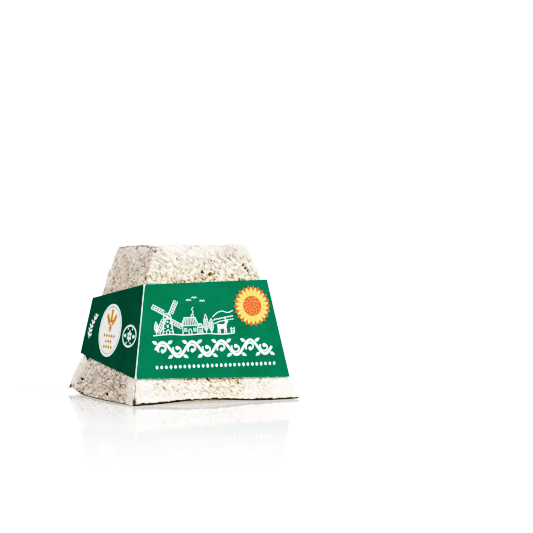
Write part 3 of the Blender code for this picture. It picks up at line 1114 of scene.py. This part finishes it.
def mixed(share, first, second):
    """The colour between first and second at this share."""
    colours = [(*c, 1.0) if isinstance(c, tuple) else c for c in (first, second)]
    inputs = {0: share, 6: colours[0], 7: colours[1]}
    return add_node(share.socket.id_data, "ShaderNodeMix", inputs, 2, data_type="RGBA")


def ramped(value, zero, one):
    """0 up to the value zero, 1 from the value one on, and an even turn between, either way round."""
    inputs = {"Value": value, "From Min": zero, "From Max": one}
    tree = value.socket.id_data
    return add_node(tree, "ShaderNodeMapRange", inputs, "Result", interpolation_type="SMOOTHSTEP")


def object_place(tree):
    return add_node(tree, "ShaderNodeTexCoord", {}, "Object")


def noise_field(tree, size, detail=3.0, roughness=0.55, slanted=1.0):
    """Cloudy values about 0.5, with features of this size in metres, longer down a slope to the right."""
    place = object_place(tree)
    if slanted != 1.0:
        slope = {"Vector": place, "Rotation": (0.0, math.radians(45), 0.0), "Scale": (slanted, 1.0, 1.0)}
        place = add_node(tree, "ShaderNodeMapping", slope, "Vector", vector_type="TEXTURE")
    inputs = {"Vector": place, "Scale": 1 / size, "Detail": detail, "Roughness": roughness}
    return add_node(tree, "ShaderNodeTexNoise", inputs, "Fac")


def mask(tree, name):
    return add_node(tree, "ShaderNodeAttribute", {}, "Fac", attribute_name=name)


def raised(height, distance, strength):
    """The normals of a surface with this relief."""
    inputs = {"Height": height, "Distance": distance, "Strength": strength}
    return add_node(height.socket.id_data, "ShaderNodeBump", inputs, "Normal")


def new_material(name):
    material = bpy.data.materials.new(name)
    material.use_nodes = True
    tree = material.node_tree
    return material, tree, tree.nodes["Principled BSDF"]


def paper_grain_group():
    """Fibres and slow unevenness of card: a tone from 0 to 1 and a height."""
    group = bpy.data.node_groups.new("paper_grain", "ShaderNodeTree")
    for label, value in (("Fibre", 2400.0), ("Unevenness", 90.0)):
        socket = group.interface.new_socket(label, in_out="INPUT", socket_type="NodeSocketFloat")
        socket.default_value = value
    for label in ("Tone", "Height"):
        group.interface.new_socket(label, in_out="OUTPUT", socket_type="NodeSocketFloat")
    given = group.nodes.new("NodeGroupInput").outputs
    fields = []
    for label, detail in (("Fibre", 2.0), ("Unevenness", 4.0)):
        inputs = {"Vector": object_place(group), "Scale": Field(given[label]), "Detail": detail}
        fields.append(add_node(group, "ShaderNodeTexNoise", inputs, "Fac"))
    fibre, slow = fields
    set_inputs(group.nodes.new("NodeGroupOutput"), {"Tone": fibre * 0.35 + slow * 0.65, "Height": fibre})
    return group


PAPER_GRAIN = paper_grain_group()


def grain_of(tree, fibre=2400.0, unevenness=90.0):
    """The tone and the height of the card's grain."""
    inputs = {"Fibre": fibre, "Unevenness": unevenness}
    tone = add_node(tree, "ShaderNodeGroup", inputs, "Tone", node_tree=PAPER_GRAIN)
    return tone, Field(tone.socket.node.outputs["Height"])


def rind_material():
    material, tree, shader = new_material("wrinkled_rind")
    cloud = noise_field(tree, 7 * MM)
    mottle = noise_field(tree, 2.0 * MM)
    breaks = noise_field(tree, 1.0 * MM, detail=1.0)
    dashes = noise_field(tree, 0.7 * MM, detail=1.0, slanted=2.5)
    powder = noise_field(tree, 0.35 * MM, detail=4.0, roughness=0.65)
    fine, worm, rough, stain, bloom, wormy, speck, from_base, from_rim = [
        mask(tree, name) for name in RIND_VALUES
    ]
    blobby = 1 - wormy
    from_line = abs(fine)
    valley = ramped(from_line, 0.26, 0.02) * blobby + ramped(from_line, 0.02, 0.17) * wormy
    # Painted shade: the valleys between the worms and blobs are darkened, broken up by mottling.
    soft = valley * ramped(mottle, 0.30, 0.60)
    # Painted shade in the deepest valleys of the wormy faces.
    deepest_valley_shade = ramped(from_line, 0.26, 0.42) * wormy * (rough * bloom)
    # Dark crease lines: ash and mould in the grooves, deepened with painted shade.
    narrow = ramped(from_line, 0.09, 0.02) * (rough * blobby)
    crease = narrow.larger(ramped(abs(worm), 0.05, 0.01) * rough * 0.7)
    crease_tone = mixed(stain, mixed(bloom, WARM_CREASE, GREY_CREASE), TAN_CREASE)
    dash = ramped(dashes, 0.55, 0.61) * (stain + rough * 0.35)
    dash_tone = mixed(ramped(mottle, 0.42, 0.58), TAN_CREASE, GREEN_CREASE)
    dash_tone = mixed(bloom, dash_tone, GREY_CREASE)
    deep = crease.larger(dash) * ramped(breaks, 0.55, 0.64)
    ragged_speck = speck * (0.4 + breaks * 1.4)
    speck_tone = mixed(ramped(ragged_speck, 0.45, 0.85), OLIVE_CREASE, SPECK_BLACK)
    uneven = mottle - 0.5
    slow = (cloud - 0.5) * 1.5
    rim = from_rim + uneven * 5.0 + slow * 3.0
    lip = from_base + uneven * 0.8 + slow * 0.6

    # What lies over the cream, from the lowest on: its share and its colour
    over = (
        # painted shade in the valleys
        (soft * 0.7, VALLEY_SHADE),
        (ramped(bloom, 0.5, 1.2) * 0.6, GREY_BLOOM_AND_SHADE),
        # painted shade in the valleys of greyed faces
        (bloom * soft, GREY_BLOOM_AND_SHADE),
        # painted highlight on the crests of the worms
        (wormy * ramped(valley, 0.5, 0.1) * 0.9, WORM_HIGHLIGHT),
        (stain * ramped(mottle, 0.15, 0.65), PEACH_STAIN),
        # painted shade in the deepest hollows
        (deepest_valley_shade * ramped(breaks, 0.42, 0.56), DEEP_HOLLOW_SHADE),
        # crease lines: ash, partly painted shade
        (crease * (0.15 + ramped(breaks, 0.46, 0.60) * 0.85), crease_tone),
        (dash, dash_tone),
        # painted highlight on the ridges between the dashes
        (ramped(dashes, 0.46, 0.38) * 0.6, RIDGE_HIGHLIGHT),
        # the darkest crease and dash lines: ash, with painted shade in the creases
        (ramped(deep, 0.25, 0.75) * 0.85, OLIVE_CREASE),
        (ramped(ragged_speck, 0.25, 0.7) * 0.9, speck_tone),
        (ramped(rim, 1.2, 0.7) * 0.85, RIM_GREY),
        # dark line along the lower lip: ash, and painted shade under the lip
        (ramped(lip, 0.9, 0.6), LIP_ASH_AND_SHADE),
    )
    colour = mixed(ramped(cloud, 0.40, 0.62), CREAM, WARM_CREAM)
    for share, tint in over:
        colour = mixed(share, colour, tint)
    sunk = crease.larger(ramped(dashes, 0.42, 0.62) * 0.8)
    set_inputs(shader, {
        "Base Color": colour,
        "Roughness": 0.88,
        "Specular IOR Level": 0.15,
        "Subsurface Weight": 0.06,
        "Subsurface Radius": (1.0, 0.8, 0.55),
        "Subsurface Scale": 0.5 * MM,
        "Normal": raised(powder * 0.35 - sunk, 0.3 * MM, 0.9),
    })
    return material


def printed_card_material():
    material, tree, shader = new_material("printed_green_card")
    tone, height = grain_of(tree)
    rub = noise_field(tree, 1.1 * MM)
    to_fold, to_cut, wear = [mask(tree, name) for name in CARD_VALUES]
    reach = 0.16 + ramped(to_cut, 1.6, 0.0) * 0.25
    on_fold = ramped((to_fold + (rub - 0.5) * 0.3) / reach, 1.5, 0.9)
    at_cut = ramped(to_cut, 0.16, 0.0) * ramped(rub, 0.5, 0.62)
    worn = (on_fold * ramped(wear, 0.2, 0.9)).larger(at_cut)
    colour = mixed(ramped(tone, 0.40, 0.62), CARD_GREEN, CARD_GREEN_LIGHT)
    set_inputs(shader, {
        "Base Color": mixed(worn, colour, CUT_CARD),
        "Roughness": add_node(tree, "ShaderNodeMapRange", {"Value": tone, "To Min": 0.42, "To Max": 0.6}),
        "Specular IOR Level": 0.0,
        "Normal": raised(height, 0.02 * MM, 0.35),
    })
    return material


def grained_material(name, tint, darkest, grain, roughness, gloss, relief):
    """A matt surface whose colour is darker where its grain's tone is high."""
    material, tree, shader = new_material(name)
    tone, height = grain_of(tree, *grain)
    dark = tuple(value * darkest for value in tint)
    set_inputs(shader, {
        "Base Color": mixed(ramped(tone, 0.35, 0.65), tint, dark),
        "Roughness": roughness,
        "Specular IOR Level": gloss,
        "Normal": raised(height, *relief),
    })
    return material


def ink_material(name, tint):
    return grained_material(name, tint, 0.9, (3000.0, 160.0), 0.5, 0.02, (0.02 * MM, 0.3))


def plain_card_material(name, tint, darkest):
    return grained_material(name, tint, darkest, (1700.0, 260.0), 0.85, 0.2, (0.04 * MM, 0.5))


# Camera, floor and light

FOCAL_LENGTH = 114.8  # on a sensor 36 mm wide
CAMERA_TURN = math.radians(-25.85)
CAMERA_RISE = math.radians(1.18)
CAMERA_ROLL = math.radians(-0.07)
CAMERA_DISTANCE = 737 * MM
LOOK_HEIGHT = 33 * MM
LOOK_RIGHT = 37.15 * MM  # the object stands left of and below the middle of the picture
LOOK_UP = 22.9 * MM

SEEN_WHITE = 1.55  # the brightness of the white room and floor, which the tone curve shows as white
ROOM_LIGHT = 0.35  # the brightness that the room sheds
FLOOR_LIT = 0.23  # what the lights add to the floor's brightness
FLOOR_FELT = 0.38  # the floor's own glow as the object feels it
FLOOR_HALF = 4.0
POLISH = 0.72  # how much the floor mirrors where the object stands
POLISH_NEAR = 45 * MM
POLISH_FAR = 255 * MM
WHITE = (1, 1, 1, 1)
FLOOR_GREY = (0.2, 0.2, 0.2, 1)

# The picture's tones: the light there is, and the light shown for it
TONES = ((0.0, 0.0), (0.06, 0.014), (0.12, 0.056), (0.21, 0.221), (0.35, 0.42), (0.56, 0.66), (0.9, 0.87),
         (1.15, 0.95), (1.5, 1.0))


def add_camera():
    back = Vector((
        math.sin(CAMERA_TURN) * math.cos(CAMERA_RISE),
        -math.cos(CAMERA_TURN) * math.cos(CAMERA_RISE),
        math.sin(CAMERA_RISE),
    ))
    right = Vector((0, 0, 1)).cross(back).normalized()
    up = back.cross(right)
    rolled_right = right * math.cos(CAMERA_ROLL) + up * math.sin(CAMERA_ROLL)
    rolled_up = up * math.cos(CAMERA_ROLL) - right * math.sin(CAMERA_ROLL)
    target = Vector((0, 0, LOOK_HEIGHT)) + rolled_right * LOOK_RIGHT + rolled_up * LOOK_UP
    data = bpy.data.cameras.new("camera")
    data.lens = FOCAL_LENGTH
    data.sensor_width = 36.0
    data.clip_start = 0.01
    camera = bpy.data.objects.new("camera", data)
    bpy.context.scene.collection.objects.link(camera)
    matrix = camera.matrix_world.copy()
    for column, side in enumerate((rolled_right, rolled_up, back, target + back * CAMERA_DISTANCE)):
        for row in range(3):
            matrix[row][column] = side[row]
    camera.matrix_world = matrix
    bpy.context.scene.camera = camera


def add_floor():
    """A white floor, polished where the object stands, that goes over into the white room."""
    bm = bmesh.new()
    bmesh.ops.create_grid(bm, x_segments=8, y_segments=8, size=FLOOR_HALF)
    mesh = mesh_from(bm, "pale_floor")
    floor = bpy.data.objects.new("pale_floor", mesh)
    bpy.context.scene.collection.objects.link(floor)
    material = bpy.data.materials.new("pale_floor")
    material.use_nodes = True
    tree = material.node_tree
    tree.nodes.clear()
    away = add_node(tree, "ShaderNodeVectorMath", {0: object_place(tree)}, "Value", operation="LENGTH")
    fading = {"From Min": POLISH_NEAR, "From Max": POLISH_FAR, "To Min": POLISH, "To Max": 0.0}
    polish = add_node(tree, "ShaderNodeMapRange", {"Value": away, **fading})
    looked_at = add_node(tree, "ShaderNodeLightPath", {}, "Is Camera Ray")
    mirrored = polish * looked_at
    brightness = (SEEN_WHITE - FLOOR_LIT) - polish * SEEN_WHITE
    strength = looked_at * (brightness - FLOOR_FELT) + FLOOR_FELT
    matt = add_node(tree, "ShaderNodeBsdfDiffuse", {"Color": FLOOR_GREY})
    glow = add_node(tree, "ShaderNodeEmission", {"Color": WHITE, "Strength": strength})
    sheen = add_node(tree, "ShaderNodeCombineColor", {0: mirrored, 1: mirrored, 2: mirrored})
    gloss = add_node(tree, "ShaderNodeBsdfGlossy", {"Color": sheen, "Roughness": 0.03})
    both = add_node(tree, "ShaderNodeAddShader", {0: matt, 1: glow})
    whole = add_node(tree, "ShaderNodeAddShader", {0: both, 1: gloss})
    set_inputs(tree.nodes.new("ShaderNodeOutputMaterial"), {"Surface": whole})
    mesh.materials.append(material)


def add_sun(name, towards, strength, softness):
    """A far, soft light from the direction towards it."""
    data = bpy.data.lights.new(name, "SUN")
    data.energy = strength
    data.angle = math.radians(softness)
    light = bpy.data.objects.new(name, data)
    light.rotation_euler = Vector(towards).to_track_quat("Z", "Y").to_euler()
    bpy.context.scene.collection.objects.link(light)


def add_world():
    """A white room that looks brighter, also in gloss, than the light that it sheds."""
    world = bpy.data.worlds.new("white_room")
    world.use_nodes = True
    tree = world.node_tree
    tree.nodes.clear()
    looked_at, mirrored = [
        add_node(tree, "ShaderNodeLightPath", {}, ray) for ray in ("Is Camera Ray", "Is Glossy Ray")
    ]
    strength = looked_at.larger(mirrored) * (SEEN_WHITE - ROOM_LIGHT) + ROOM_LIGHT
    room = add_node(tree, "ShaderNodeBackground", {"Color": WHITE, "Strength": strength})
    set_inputs(tree.nodes.new("ShaderNodeOutputWorld"), {"Surface": room})
    bpy.context.scene.world = world


def set_tones():
    """Gives the picture deep darks and soft highlights."""
    view = bpy.context.scene.view_settings
    view.view_transform = "Standard"
    view.look = "None"
    view.use_curve_mapping = True
    mapping = view.curve_mapping
    brightest = TONES[-1][0]
    mapping.white_level = (brightest, brightest, brightest)
    curve = mapping.curves[3]
    for light, shown in TONES[1:-1]:
        curve.points.new(light / brightest, shown)
    for point in curve.points:
        point.handle_type = "AUTO_CLAMPED"
    mapping.update()


def add_lights():
    add_world()
    add_sun("key_light", (0.38, -0.72, 0.62), 3.2, 25)
    add_sun("fill_light", (-0.74, -0.32, 0.58), 1.32, 30)
    add_sun("back_light", (0.2, 0.8, 0.6), 1.2, 50)
    set_tones()


add_camera()
add_floor()
add_lights()
build_rind()
build_sleeve()
build_print()
